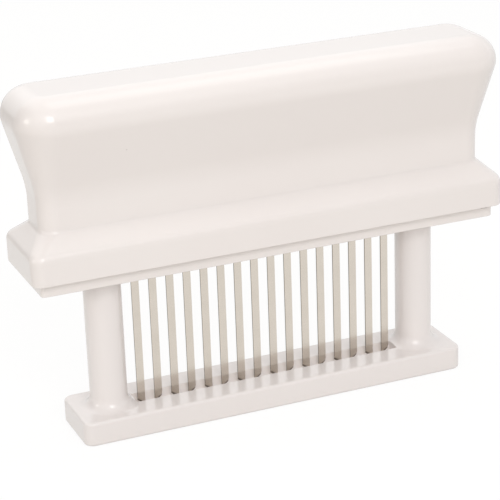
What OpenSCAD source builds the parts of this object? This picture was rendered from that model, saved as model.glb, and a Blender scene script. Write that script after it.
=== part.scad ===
// Hand-held blade meat tenderizer: a row of knives fixed in a moulded handle, and a
// sprung presser foot on two posts that hides their tips until the handle is pushed down.
// Origin: middle of the foot's underside. X along the blade row, Y front to back, Z up.

/* [Blades] */
// Number of knives in the row
blade_count = 16; // [8:1:20]
// Distance from one knife to the next
blade_pitch = 5.3; // [5:0.1:7]
// Width of a knife, along the row
blade_w = 2.3; // [2:0.05:2.9]
// Thickness of a knife, front to back
blade_t = 0.6; // [0.4:0.05:1]
// How far the head stands out past each edge of the knife
blade_lug = 0.9; // [0.6:0.05:1]
// Height of the head
blade_head_h = 3; // [2:0.1:3.4]
// Height of the slanting cut at the tip
blade_cut_h = 1.6; // [1:0.1:4]
// Height of the facet that is ground on the front of the tip
blade_grind_h = 1.5; // [0.5:0.1:3]
// How far the tips reach into the mouths of the foot's slots at rest
tip_cover = 0.4; // [0.1:0.1:1.5]

/* [Foot] */
// Thickness of the foot bar
foot_h = 7.3; // [6:0.1:10]
// How far the foot bar's long faces stand in from the retainer's
foot_setback = 0.25; // [0:0.05:2]
// Length of the foot bar past each post's axis
foot_overhang = 11; // [10:0.1:16]
// Radius of the foot bar's upright corners
foot_corner_r = 3; // [1.5:0.1:5]
// Radius of the foot bar's top and bottom edges
foot_edge_r = 0.9; // [0.4:0.1:1.4]
// Width of the trough along the top of the foot
trough_w = 6; // [4:0.1:8]
// Width of the trough's floor
trough_floor_w = 2.6; // [2.4:0.1:4]
// Depth of the trough
trough_depth = 2.3; // [1:0.1:3]
// Length of the trough past the last knife's axis
trough_end = 2.6; // [2.2:0.1:2.9]
// Gap between a knife and its slot in the foot
slot_clear = 0.4; // [0.2:0.05:0.5]

/* [Posts] */
// Diameter of a post
post_d = 11; // [9:0.1:12]
// Distance from the last knife's axis to the post's axis
post_gap = 9.85; // [9.3:0.05:14]
// Radius of the fillet where a post grows out of the foot
post_fillet = 3.4; // [1:0.1:5]
// Gap between a post and its guide bore
post_clear = 0.08; // [0.02:0.01:0.1]
// Diameter of the stop washer on the post's end
washer_d = 13; // [12.6:0.1:13.4]
// Thickness of the stop washer
washer_t = 1.5; // [1:0.1:2]
// Diameter of the post screw's shank
post_screw_d = 4; // [3:0.1:4.4]
// Length of the post screw's shank
post_screw_l = 16; // [10:0.5:24]

/* [Travel] */
// Distance from the foot's top to the retainer's underside at rest
open_gap = 40.9; // [38:0.1:50]
// How far the foot can be pushed up towards the handle
stroke = 32; // [15:0.5:33]
// Gap left at the hard stop, and under the washer at rest
stop_clear = 0.2; // [0.1:0.1:0.5]

/* [Springs] */
// Diameter of the spring wire
wire_d = 0.9; // [0.6:0.1:1]
// Outer diameter of a spring
spring_d = 11.6; // [11.2:0.1:12.4]
// Number of coils
spring_coils = 9; // [6:1:10]

/* [Retainer] */
// Height of the retainer
retainer_h = 8; // [7:0.1:10]
// Height of the part of the retainer that shows under the handle
retainer_drop = 3.9; // [2:0.1:5]
// Step from the handle's outer face in to the retainer's face
retainer_inset = 2.65; // [2.4:0.1:3.5]
// Radius of the retainer's upright corners
retainer_corner_r = 1.2; // [0.5:0.1:3]
// Gap between the retainer and the handle's recess
recess_clear = 0.15; // [0.05:0.05:0.3]
// Width of the channel that the knife heads stand in
channel_w = 4.4; // [3:0.1:5]
// Gap between a knife and its seat
seat_clear = 0.06; // [0.03:0.01:0.1]
// Distance of the retainer screws past the post's axis
retainer_screw_gap = 13.9; // [12.6:0.1:14.2]
// Diameter of the retainer screw's shank
retainer_screw_d = 3; // [2.4:0.1:3.4]
// Length of the retainer screw's shank
retainer_screw_l = 15; // [10:0.5:20]
// Width of the pry notches in the retainer's long faces
notch_w = 2.2; // [1:0.1:4]
// Height of the pry notches
notch_h = 1.1; // [0.5:0.1:1.6]
// Depth of the pry notches
notch_d = 1.4; // [0.5:0.1:2]
// Distance of the pry notches from the retainer's ends
notch_end = 3; // [2.8:0.1:6]

/* [Keeper] */
// Thickness of the keeper plate over the knife heads
keeper_t = 2.4; // [1.8:0.1:3]
// Depth of the keeper plate, front to back
keeper_d = 15; // [13.5:0.1:16]
// Distance of the keeper screws from the middle, along the row
keeper_screw_x = 29; // [12:0.5:33]
// Distance of the keeper screws from the middle, front to back
keeper_screw_y = 4.6; // [4.5:0.1:5]
// Diameter of the keeper screw's shank
keeper_screw_d = 2.2; // [1.6:0.1:2.4]
// Length of the keeper screw's shank
keeper_screw_l = 7; // [5:0.5:8]

/* [Handle] */
// Length of the handle past each post's axis
flange_overhang = 23.55; // [22:0.05:30]
// Depth of the handle's bottom flange, front to back
flange_d = 28.2; // [27:0.1:36]
// Height of the flange's upright side
flange_h = 8.2; // [6:0.1:14]
// Radius of the flange's upright corners
flange_corner_r = 3.4; // [3:0.1:8]
// Height of the sloping shoulder above the flange
shoulder_h = 4.9; // [3:0.1:10]
// How far the neck is set in from the flange's long faces
neck_inset_side = 5.75; // [3:0.05:5.8]
// How far the neck is set in from the flange's ends
neck_inset_end = 5; // [3:0.05:6]
// Height of the straight neck
neck_h = 10.4; // [6:0.1:20]
// Radius of the neck's upright corners
neck_corner_r = 4.7; // [3.4:0.1:8]
// Height of the flare above the neck
flare_h = 16.7; // [10:0.1:30]
// How far the flare widens each long face
flare_side = 5.85; // [1:0.1:9]
// How far the flare widens each end
flare_end = 4.45; // [1:0.1:9]
// Height of the crown above the flare
crown_h = 11.5; // [10:0.1:16]
// Radius of the crown's rounded edge
crown_r = 8.1; // [4:0.1:9]
// Radius of the crown's upright corners
crown_corner_r = 9.5; // [6:0.1:12]
// Length over which the neck bends into the flare
flare_blend = 3.6; // [1:0.1:5]
// Length over which the shoulder's outer edge is rounded
shoulder_blend = 1.5; // [0.5:0.1:2.6]
// Length over which the shoulder bends into the neck
neck_blend = 0.8; // [0.5:0.1:1.6]
// Wall thickness of the handle
wall = 2.4; // [1.8:0.1:2.6]
// Thickness of the roof over the spring wells
roof = 3; // [2.5:0.1:5]
// Width of the ledge that the retainer seats on
ledge = 2; // [1:0.1:3]
// Diameter of the spring wells
well_d = 13.6; // [13.6:0.1:14]
// Wall of the spring wells inside the handle
well_wall = 1.6; // [1.2:0.1:2.5]
// Thickness of the stiffening ribs
rib_t = 1.8; // [1:0.1:3]
// Distance between stiffening ribs
rib_pitch = 22; // [14:0.5:26]

/* [Hidden] */

// Colours
WHITE = [0.93, 0.91, 0.89];
INNER_WHITE = [0.86, 0.85, 0.83];
STEEL = [0.74, 0.72, 0.69];
BRIGHT = [0.80, 0.80, 0.82];

// Levels, from the floor up
trough_z = foot_h - trough_depth;
tip_z = trough_z - tip_cover;
retainer_z = foot_h + open_gap;
flange_z = retainer_z + retainer_drop;
seat_z = retainer_z + retainer_h;
shoulder_z = flange_z + flange_h;
neck_z = shoulder_z + shoulder_h;
flare_z = neck_z + neck_h;
crown_z = flare_z + flare_h;
top_z = crown_z + crown_h;

// Places along the row
row_half = (blade_count - 1) * blade_pitch / 2;
post_x = row_half + post_gap;
retainer_screw_x = post_x + retainer_screw_gap;
sides = [-1, 1];

// Half sizes of the main outlines: [along X, along Y]
flange_half = [post_x + flange_overhang, flange_d / 2];
neck_half = flange_half - [neck_inset_end, neck_inset_side];
flare_half = neck_half + [flare_end, flare_side];
retainer_half = flange_half - [retainer_inset, retainer_inset];
foot_half = [post_x + foot_overhang, retainer_half[1] - foot_setback];
recess_half = retainer_half + [recess_clear, recess_clear];
ledge_half = recess_half - [ledge, ledge];

// Heads, channel and keeper
head_w = blade_w + 2 * blade_lug;
head_gap = 0.1;
channel_half = row_half + head_w / 2 + head_gap;
keeper_rib_h = 1;
channel_z = seat_z - keeper_rib_h - blade_head_h;
keeper_rib_clear = 0.1;
keeper_margin = 1;
keeper_corner_r = 2;

// Screw heads and points, each in proportion to its shank
head_d_per_shank = 1.9;
head_h_per_shank = 0.6;
head_top_per_shank = 1.3;
point_h_per_shank = 0.6;
point_d_per_shank = 0.3;
cross_half_per_shank = 0.5;
cross_t_per_shank = 0.1;
// Heights in a screw head, as a share of the head
rim_share = 0.6;
cross_share = 0.4;
hole_clear = 0.05;
head_clear = 0.2;
post_head_h = post_screw_d * head_h_per_shank;

// Posts and springs
post_r = post_d / 2;
post_top = seat_z + stop_clear;
washer_z = post_top + washer_t;
well_z = top_z - roof;
well_foot_gap = 0.6;
well_foot_z = seat_z + keeper_t + well_foot_gap;
stop_z = washer_z + post_head_h + stroke + stop_clear;
spring_gap = 0.1;
spring_mid_r = (spring_d - wire_d) / 2;
stop_pin_gap = 0.4;
stop_pin_r = spring_mid_r - wire_d / 2 - stop_pin_gap;
// Rise of one closed coil, in wire diameters
closed_per_wire = 1.1;
closed_pitch = wire_d * closed_per_wire;
pilot_gap = 2;
bore_margin = 0.6;

// Least corner radii inside the handle and on its crown
ledge_corner_r = 1.6;
inner_corner_min = 0.8;
crown_corner_min = 0.5;
ring_slack = 0.01;

$fn = 64;
hull_fn = 32;
edge_fn = 16;
corner_steps = 8;
bend_steps = 4;
crown_steps = 12;
inner_corner_steps = 3;
inner_crown_steps = 5;
curl_rings = 12;
wire_sides = 6;
past = 0.5;

// Name of knife i, counted from the left
function blade_name(i) = str("blade_", i < 10 ? "0" : "", i);

// One outline of the handle is a ring: [height, half length, half depth, corner radius]
function ring_at(z, half, r) = [z, half[0], half[1], r];

// The point a distance d from ring a towards ring b, measured in the side profile
function ring_toward(a, b, d) = a + (b - a) * d / norm([b[0] - a[0], b[2] - a[2]]);

// A rounded bend at ring b between rings a and c, starting a distance d from b
function ring_bend(a, b, c, d) =
    let (from = ring_toward(b, a, d), to = ring_toward(b, c, d))
    [for (i = [0 : bend_steps]) let (t = i / bend_steps)
        (1 - t) * (1 - t) * from + 2 * t * (1 - t) * b + t * t * to];

// Lean of the flare at the ends and at the sides, and the crown's arc centres
end_lean = atan(flare_end / flare_h);
side_lean = atan(flare_side / flare_h);
arc_z = top_z - crown_r;
arc_end = neck_half[0] + (arc_z - flare_z) * tan(end_lean) - crown_r / cos(end_lean);
arc_side = neck_half[1] + (arc_z - flare_z) * tan(side_lean) - crown_r / cos(side_lean);

// Ring t of the crown's arc, from 0 at the flare to 1 on the flat top, set in by skin
function crown_ring(t, skin) =
    let (a = (90 + end_lean) * t - end_lean, b = (90 + side_lean) * t - side_lean)
    let (r = crown_r - skin)
    [arc_z + r * sin(a), arc_end + r * cos(a), arc_side + r * cos(b),
     max(crown_corner_r - skin - r * (1 - cos(max(a, 0))), crown_corner_min)];

// The rings from the shoulder to the start of the crown
flange_ring = ring_at(flange_z, flange_half, flange_corner_r);
shoulder_ring = ring_at(shoulder_z, flange_half, flange_corner_r);
neck_ring = ring_at(neck_z, neck_half, neck_corner_r);
flare_ring = ring_at(flare_z, neck_half, neck_corner_r);
body_rings = concat(
    ring_bend(flange_ring, shoulder_ring, neck_ring, shoulder_blend),
    ring_bend(shoulder_ring, neck_ring, flare_ring, neck_blend),
    ring_bend(neck_ring, flare_ring, crown_ring(0, 0), flare_blend));

outer_rings = concat(
    [flange_ring], body_rings, [for (i = [0 : crown_steps]) crown_ring(i / crown_steps, 0)]);

// The inner rings follow the outer ones a wall further in, and clear the retainer's ledge
function inner_ring(r) =
    [r[0], min(r[1] - wall, ledge_half[0]), min(r[2] - wall, ledge_half[1]),
     max(r[3] - wall, inner_corner_min)];
inner_rings = concat(
    [ring_at(seat_z - past, ledge_half, ledge_corner_r)],
    [for (r = body_rings) inner_ring(r)],
    [for (i = [0 : inner_crown_steps]) crown_ring(i / inner_crown_steps, wall)]);

// The points of one ring, as a rectangle whose round corners have a number of steps
function ring_points(r, steps) =
    let (c = min(r[3], r[1] - ring_slack, r[2] - ring_slack), w = r[1] - c, d = r[2] - c)
    [for (q = [0 : 3], i = [0 : steps])
        let (a = 90 * (q + i / steps))
        [(q == 0 || q == 3 ? w : -w) + c * cos(a), (q < 2 ? d : -d) + c * sin(a), r[0]]];

// A closed skin over a stack of rings with the same number of points
module loft(rings, per_ring) {
    last = len(rings) - 1;
    polyhedron(
        points = [for (r = rings) each r],
        faces = concat(
            [[for (k = [0 : per_ring - 1]) k]],
            [[for (k = [per_ring - 1 : -1 : 0]) last * per_ring + k]],
            [for (j = [0 : last - 1], k = [0 : per_ring - 1])
                let (a = j * per_ring + k, b = j * per_ring + (k + 1) % per_ring)
                each [[a, a + per_ring, b], [b, a + per_ring, b + per_ring]]]));
}

module ring_loft(rings, steps) {
    loft([for (r = rings) ring_points(r, steps)], 4 * (steps + 1));
}

// A slab with round upright corners, standing on z
module slab(half, r, z, h) {
    translate([0, 0, z]) {
        translate([-half[0], -half[1] + r, 0]) cube([2 * half[0], 2 * (half[1] - r), h]);
        translate([-half[0] + r, -half[1], 0]) cube([2 * (half[0] - r), 2 * half[1], h]);
        for (x = sides, y = sides)
            translate([x * (half[0] - r), y * (half[1] - r), 0]) cylinder(r = r, h = h);
    }
}

module block(x_half, y_half, z, h) {
    translate([-x_half, -y_half, z]) cube([2 * x_half, 2 * y_half, h]);
}

// A pan-head screw with a cross recess, its head's seat at z = 0 and its shank below
module pan_screw(d, l) {
    head_h = d * head_h_per_shank;
    rim_h = head_h * rim_share;
    point_h = d * point_h_per_shank;
    difference() {
        union() {
            cylinder(d = d * head_d_per_shank, h = rim_h);
            translate([0, 0, rim_h]) cylinder(
                d1 = d * head_d_per_shank, d2 = d * head_top_per_shank, h = head_h - rim_h);
            translate([0, 0, point_h - l]) cylinder(d = d, h = l - point_h);
            translate([0, 0, -l]) cylinder(d1 = d * point_d_per_shank, d2 = d, h = point_h);
        }
        for (a = [0, 90]) rotate(a)
            block(d * cross_half_per_shank, d * cross_t_per_shank, head_h * cross_share, head_h);
    }
}

module handle_cavity() {
    difference() {
        ring_loft(inner_rings, inner_corner_steps);
        for (s = sides) translate([s * post_x, 0, well_foot_z])
            cylinder(d = well_d + 2 * well_wall, h = top_z - well_foot_z);
        for (s = sides) translate([s * retainer_screw_x, 0, seat_z])
            cylinder(d = retainer_screw_d + 2 * wall, h = top_z - seat_z);
        for (s = [-1 : 1])
            translate([s * rib_pitch, 0, 0]) block(rib_t / 2, flange_half[1], shoulder_z + wall, top_z);
    }
}

module handle_shell() {
    color(WHITE) {
        difference() {
            ring_loft(outer_rings, corner_steps);
            handle_cavity();
            slab(recess_half, retainer_corner_r + recess_clear, flange_z - past, seat_z - flange_z + past);
            for (s = sides) {
                translate([s * post_x, 0, seat_z - past])
                    cylinder(d = well_d, h = well_z - seat_z + past);
                translate([s * retainer_screw_x, 0, seat_z - past])
                    cylinder(d = retainer_screw_d + 2 * hole_clear, h = retainer_pilot_h + past);
            }
        }
        for (s = sides) translate([s * post_x, 0, stop_z])
            cylinder(r = stop_pin_r, h = top_z - roof - stop_z + past);
    }
}

// Depth of the retainer screw's counterbore, the material left over it, and the pilot's depth
retainer_bore_h = retainer_screw_d * head_h_per_shank + bore_margin;
retainer_grip = retainer_h - retainer_bore_h;
retainer_pilot_h = retainer_screw_l - retainer_grip + pilot_gap;

module retainer() {
    color(WHITE) difference() {
        slab(retainer_half, retainer_corner_r, retainer_z, retainer_h);
        block(channel_half, channel_w / 2, channel_z, seat_z);
        for (i = [1 : blade_count]) translate([blade_x(i), 0, 0])
            block(blade_w / 2 + seat_clear, blade_t / 2 + seat_clear, retainer_z - past, retainer_h);
        for (s = sides) {
            translate([s * post_x, 0, retainer_z - past])
                cylinder(r = post_r + post_clear, h = retainer_h + 2 * past);
            translate([s * retainer_screw_x, 0, retainer_z - past]) {
                cylinder(d = retainer_screw_d + 2 * hole_clear, h = retainer_h + 2 * past);
                cylinder(d = retainer_screw_d * head_d_per_shank + 2 * head_clear,
                         h = retainer_bore_h + past);
            }
        }
        for (x = sides, y = sides)
            translate([x * keeper_screw_x, y * keeper_screw_y, seat_z + keeper_t - keeper_screw_l - past])
                cylinder(d = keeper_screw_d + 2 * hole_clear, h = keeper_screw_l + past);
        for (s = sides) translate([s * (retainer_half[0] - notch_end), -s * retainer_half[1], 0])
            block(notch_w / 2, notch_d, flange_z - notch_h, notch_h);
    }
}

module retainer_screws() {
    color(BRIGHT) for (s = sides)
        translate([s * retainer_screw_x, 0, retainer_z + retainer_bore_h])
            mirror([0, 0, 1]) pan_screw(retainer_screw_d, retainer_screw_l);
}

module knife_keeper() {
    color(INNER_WHITE) difference() {
        union() {
            slab([channel_half + keeper_margin, keeper_d / 2], keeper_corner_r, seat_z, keeper_t);
            block(channel_half - keeper_rib_clear, channel_w / 2 - keeper_rib_clear,
                  seat_z - keeper_rib_h, keeper_rib_h + keeper_t / 2);
        }
        for (x = sides, y = sides)
            translate([x * keeper_screw_x, y * keeper_screw_y, seat_z - past])
                cylinder(d = keeper_screw_d + 2 * hole_clear, h = keeper_t + 2 * past);
        for (s = sides) translate([s * post_x, 0, seat_z - past])
            cylinder(d = well_d, h = keeper_t + 2 * past);
    }
}

module keeper_screws() {
    color(BRIGHT) for (x = sides, y = sides)
        translate([x * keeper_screw_x, y * keeper_screw_y, seat_z + keeper_t])
            pan_screw(keeper_screw_d, keeper_screw_l);
}

// Knife i's place along the row, and the side that its tip's point is on
function blade_x(i) = (i - 1) * blade_pitch - row_half;
function blade_side(i) = i % 2 == 0 ? -1 : 1;

module blade(i) {
    half = blade_w / 2;
    s = blade_side(i);
    color(STEEL) translate([blade_x(i), 0, 0]) difference() {
        translate([0, blade_t / 2, 0]) rotate([90, 0, 0])
            linear_extrude(height = blade_t) polygon([
                [s * half, tip_z], [-s * half, tip_z + blade_cut_h],
                [-s * half, channel_z], [-s * head_w / 2, channel_z],
                [-s * head_w / 2, channel_z + blade_head_h],
                [s * head_w / 2, channel_z + blade_head_h],
                [s * head_w / 2, channel_z], [s * half, channel_z]]);
        translate([0, 0, tip_z + blade_cut_h / 2]) rotate([0, s * blade_slant, 0]) grind();
    }
}

// What is ground off a knife's front along its slanting end, down to a thin land at the back
blade_slant = atan(blade_cut_h / blade_w);
edge_land = 0.05;
module grind() {
    rise = blade_grind_h * cos(blade_slant);
    run = blade_t - edge_land;
    rotate([90, 0, 90]) linear_extrude(height = blade_w / cos(blade_slant) + 2 * past, center = true)
        polygon([
            [run - blade_t / 2 + past * run / rise, -past],
            [-blade_t / 2 - past, rise * (run + past) / run],
            [-blade_t / 2 - past, -past]]);
}

// A quarter of the foot bar's outline: a disc with rounded rims
module foot_corner() {
    rotate_extrude($fn = hull_fn) {
        square([foot_corner_r - foot_edge_r, foot_h]);
        translate([0, foot_edge_r]) square([foot_corner_r, foot_h - 2 * foot_edge_r]);
        for (z = [foot_edge_r, foot_h - foot_edge_r]) intersection() {
            translate([foot_corner_r - foot_edge_r, z]) circle(r = foot_edge_r, $fn = edge_fn);
            square([foot_corner_r, foot_h]);
        }
    }
}

module foot_bar() {
    hull() for (x = sides, y = sides)
        translate([x * (foot_half[0] - foot_corner_r), y * (foot_half[1] - foot_corner_r), 0])
            foot_corner();
}

module post() {
    cylinder(r = post_r, h = post_top);
    translate([0, 0, foot_h]) rotate_extrude() difference() {
        translate([post_r - past, -past]) square([post_fillet + past, post_fillet + past]);
        translate([post_r + post_fillet, post_fillet]) circle(r = post_fillet);
    }
}

module trough() {
    x_half = row_half + trough_end;
    translate([-x_half, 0, foot_h]) rotate([90, 0, 90])
        linear_extrude(height = 2 * x_half) polygon([
            [-trough_w / 2, 0], [-trough_floor_w / 2, -trough_depth],
            [trough_floor_w / 2, -trough_depth], [trough_w / 2, 0],
            [trough_w / 2, post_fillet], [-trough_w / 2, post_fillet]]);
}

module presser_foot() {
    color(WHITE) difference() {
        union() {
            foot_bar();
            for (s = sides) translate([s * post_x, 0, 0]) post();
        }
        trough();
        for (i = [1 : blade_count]) translate([blade_x(i), 0, 0])
            block(blade_w / 2 + slot_clear, blade_t / 2 + slot_clear, -past, foot_h);
        for (s = sides) translate([s * post_x, 0, post_top - post_screw_l])
            cylinder(d = post_screw_d + 2 * hole_clear, h = post_screw_l + past);
    }
}

module stop_washers() {
    color(BRIGHT) for (s = sides) translate([s * post_x, 0, post_top]) difference() {
        cylinder(d = washer_d, h = washer_t);
        translate([0, 0, -past]) cylinder(d = post_screw_d + 2 * head_clear, h = washer_t + 2 * past);
    }
}

module post_screws() {
    color(BRIGHT) for (s = sides)
        translate([s * post_x, 0, washer_z]) pan_screw(post_screw_d, post_screw_l);
}

// A round wire wound as a spring between its seat on the washer and the well's roof
spring_z0 = washer_z + spring_gap + wire_d / 2;
spring_z1 = well_z - spring_gap - wire_d / 2;
live_pitch = (spring_z1 - spring_z0 - 2 * closed_pitch) / (spring_coils - 2);

// Height of the wire's centre after a number of turns: one closed coil at each end
function spring_z(turn) =
    turn < 1 ? spring_z0 + closed_pitch * turn
    : turn > spring_coils - 1 ? spring_z1 - closed_pitch * (spring_coils - turn)
    : spring_z0 + closed_pitch + live_pitch * (turn - 1);

function wire_ring(turn) =
    let (a = 360 * turn)
    [for (k = [0 : wire_sides - 1])
        let (b = 360 * (k + 0.5) / wire_sides, r = spring_mid_r + wire_d / 2 * sin(b))
        [r * cos(a), r * sin(a), spring_z(turn) + wire_d / 2 * cos(b)]];

module spring(x) {
    steps = spring_coils * curl_rings;
    color(BRIGHT) translate([x, 0, 0])
        loft([for (i = [steps : -1 : 0]) wire_ring(i / curl_rings)], wire_sides);
}

module spring_left() {
    spring(-post_x);
}

module spring_right() {
    spring(post_x);
}

echo(least_gap_between_coils = live_pitch - wire_d);

handle_shell();
retainer();
retainer_screws();
knife_keeper();
keeper_screws();
presser_foot();
stop_washers();
post_screws();
spring_left();
spring_right();
for (i = [1 : blade_count])
    blade(i);
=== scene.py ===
"""Looks of a hand-held blade meat tenderizer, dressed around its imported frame.

Sizes in the dataclasses are millimetres, as on a drawing; meshes are made in metres.
"""

import logging
import math
from contextlib import contextmanager
from dataclasses import dataclass
from enum import Enum
from typing import Callable, Iterator, Sequence

import bpy
from bpy.types import ID, Material, Mesh, Node, NodeSocket, NodeTree, Object
from mathutils import Matrix, Vector


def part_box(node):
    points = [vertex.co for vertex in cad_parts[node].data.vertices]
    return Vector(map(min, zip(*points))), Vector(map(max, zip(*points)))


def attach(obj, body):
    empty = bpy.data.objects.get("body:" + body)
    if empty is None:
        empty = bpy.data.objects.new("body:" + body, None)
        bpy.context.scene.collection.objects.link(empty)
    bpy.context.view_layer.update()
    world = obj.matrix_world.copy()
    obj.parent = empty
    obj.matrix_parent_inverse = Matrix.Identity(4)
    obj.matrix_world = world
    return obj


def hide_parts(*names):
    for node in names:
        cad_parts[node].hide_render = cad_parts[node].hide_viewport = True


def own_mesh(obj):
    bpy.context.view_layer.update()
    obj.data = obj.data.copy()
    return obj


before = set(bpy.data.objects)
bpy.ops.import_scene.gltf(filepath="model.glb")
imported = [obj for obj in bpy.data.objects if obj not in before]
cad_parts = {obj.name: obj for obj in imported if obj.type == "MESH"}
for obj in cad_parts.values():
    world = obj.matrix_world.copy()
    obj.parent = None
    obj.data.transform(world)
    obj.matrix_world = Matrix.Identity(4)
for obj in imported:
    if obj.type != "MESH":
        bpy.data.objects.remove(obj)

MM = 0.001
NEAR = 0.01 * MM
MERGE = 0.002 * MM
HANDLE_BODY = "handle_unit"
FOOT_BODY = "foot_unit"
SIDES = (-1, 1)
WHITE = (1.0, 1.0, 1.0, 1.0)
KNIVES = 16
PITCH = 5.3

log = logging.getLogger("tenderizer")


# ---- modelling by hand


def only(*objects: Object) -> None:
    """Select these objects alone, and make the first one active."""
    bpy.ops.object.select_all(action="DESELECT")
    for obj in objects:
        obj.select_set(True)
    bpy.context.view_layer.objects.active = objects[0]


@contextmanager
def editing(obj: Object) -> Iterator[None]:
    """Hold one object in edit mode with everything selected, by its vertices."""
    only(obj)
    bpy.ops.object.mode_set(mode="EDIT")
    bpy.ops.mesh.select_mode(type="VERT")
    bpy.ops.mesh.select_all(action="SELECT")
    try:
        yield
    finally:
        bpy.ops.object.mode_set(mode="OBJECT")


@contextmanager
def editing_picked(obj: Object, mode: str, test: Callable[..., bool]) -> Iterator[None]:
    """Hold one object in edit mode with only the parts that pass a test selected.

    Args:
        obj: the object to edit.
        mode: VERT, whose test takes the vertex's place, or EDGE, whose test takes both ends.
        test: tells a part to select.
    """
    mesh: Mesh = obj.data
    for part in (mesh.polygons, mesh.edges, mesh.vertices):
        part.foreach_set("select", [False] * len(part))
    if mode == "VERT":
        for vertex in mesh.vertices:
            vertex.select = test(vertex.co)
    else:
        for edge in mesh.edges:
            a, b = (mesh.vertices[i] for i in edge.vertices)
            edge.select = test(a.co, b.co)
            if edge.select:
                a.select = b.select = True
    only(obj)
    bpy.context.tool_settings.mesh_select_mode = (mode == "VERT", mode == "EDGE", False)
    bpy.ops.object.mode_set(mode="EDIT")
    try:
        yield
    finally:
        bpy.ops.object.mode_set(mode="OBJECT")


def bevel_edges(
    obj: Object, test: Callable[[Vector, Vector], bool], radius: float, segments: int
) -> None:
    """Round some of an object's edges.

    Args:
        obj: the object to round.
        test: tells an edge to round by its two ends.
        radius: radius in millimetres.
        segments: faces across each round.
    """
    with editing_picked(obj, "EDGE", test):
        bpy.ops.mesh.bevel(offset=radius * MM, segments=segments, profile=0.5, affect="EDGES")


def upright(a: Vector, b: Vector) -> bool:
    """Tell an upright edge by its two ends."""
    return abs(a.z - b.z) > MM


def added(name: str, primitive: Callable[..., set[str]], **sizes: float) -> Object:
    """Add a mesh primitive as a new object at the origin.

    Args:
        name: the object's name.
        primitive: the operator that adds it.
        sizes: the operator's own sizes and counts.

    Returns:
        The new object.
    """
    bpy.ops.object.select_all(action="DESELECT")
    primitive(**sizes)
    bpy.context.object.name = name
    return bpy.context.object


def apply_modifier(obj: Object, kind: str, **settings: object) -> None:
    """Add a modifier of a kind with its settings, and apply it."""
    only(obj)
    modifier = obj.modifiers.new(kind, kind)
    for key, value in settings.items():
        setattr(modifier, key, value)
    bpy.ops.object.modifier_apply(modifier=modifier.name)


def new_box(name: str, low: Vector, high: Vector) -> Object:
    """Add a cube shaped to two opposite corners, its object at the origin.

    Args:
        name: the object's name.
        low: lowest corner, in metres.
        high: highest corner, in metres.

    Returns:
        The new object.
    """
    obj = added(name, bpy.ops.mesh.primitive_cube_add, size=1)
    with editing(obj):
        size = high - low
        bpy.ops.transform.resize(value=tuple(size))
        bpy.ops.transform.translate(value=tuple((low + high) / 2))
    return obj


def new_drum(name: str, radius: float, low: Vector, height: float, sides: int = 64) -> Object:
    """Add an upright cylinder, its object at the origin.

    Args:
        name: the object's name.
        radius: radius in metres.
        low: centre of its lower face, in metres.
        height: height in metres.
        sides: number of sides.

    Returns:
        The new object.
    """
    cylinder = bpy.ops.mesh.primitive_cylinder_add
    obj = added(name, cylinder, vertices=sides, radius=radius, depth=height)
    with editing(obj):
        bpy.ops.transform.translate(value=(low.x, low.y, low.z + height / 2))
    return obj


def joined(name: str, parts: Sequence[Object]) -> Object:
    """Join parts into one object under a name."""
    only(*parts)
    if len(parts) > 1:
        bpy.ops.object.join()
    parts[0].name = name
    return parts[0]


def copied(obj: Object, name: str, offset: Vector) -> Object:
    """Copy an object with its own mesh, moved by an offset inside that mesh."""
    only(obj)
    bpy.ops.object.duplicate(linked=False)
    twin = bpy.context.object
    twin.name = name
    with editing(twin):
        bpy.ops.transform.translate(value=tuple(offset))
    return twin


def slot_row(half: tuple[float, float], low: float, high: float) -> Object:
    """Make a row of boxes that cut the knives' slots.

    Args:
        half: half the size of a slot along X and Y, in millimetres.
        low: height of the boxes' lower ends, in metres.
        high: height of their upper ends, in metres.

    Returns:
        One object with all the boxes.
    """
    first = -(KNIVES - 1) / 2 * PITCH
    low_corner = Vector(((first - half[0]) * MM, -half[1] * MM, low))
    high_corner = Vector(((first + half[0]) * MM, half[1] * MM, high))
    boxes = [new_box("slot", low_corner, high_corner)]
    for i in range(1, KNIVES):
        boxes.append(copied(boxes[0], f"slot_{i}", Vector((i * PITCH * MM, 0, 0))))
    return joined("slots", boxes)


def combine(obj: Object, tool: Object, operation: str) -> None:
    """Apply a boolean of obj with a tool object, and delete the tool.

    Args:
        obj: the object that is changed.
        tool: the object that cuts or adds.
        operation: UNION or DIFFERENCE.
    """
    apply_modifier(obj, "BOOLEAN", operation=operation, solver="EXACT", object=tool)
    bpy.data.objects.remove(tool)


def soften(obj: Object, radius: float, segments: int, angle: float = 38.0) -> None:
    """Round the edges that turn more than an angle.

    Args:
        obj: the object to round.
        radius: radius in metres.
        segments: faces across each round.
        angle: least turn of a rounded edge, in degrees.
    """
    limit = {"limit_method": "ANGLE", "angle_limit": math.radians(angle)}
    apply_modifier(
        obj, "BEVEL", width=radius, segments=segments, harden_normals=False, **limit
    )


def finish_surface(obj: Object, angle: float = 32.0) -> None:
    """Merge doubles, turn the faces outwards and shade the surface smooth up to an angle."""
    with editing(obj):
        bpy.ops.mesh.remove_doubles(threshold=MERGE)
        bpy.ops.mesh.normals_make_consistent(inside=False)
    only(obj)
    bpy.ops.object.shade_smooth_by_angle(angle=math.radians(angle))
    apply_modifier(obj, "WEIGHTED_NORMAL", mode="FACE_AREA", keep_sharp=True)


# ---- rings and lofts


def ring(z: float, half_l: float, half_d: float, corner: float) -> Vector:
    """One level of a moulding: height, half length, half depth and corner radius."""
    return Vector((z, half_l, half_d, corner))


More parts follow.
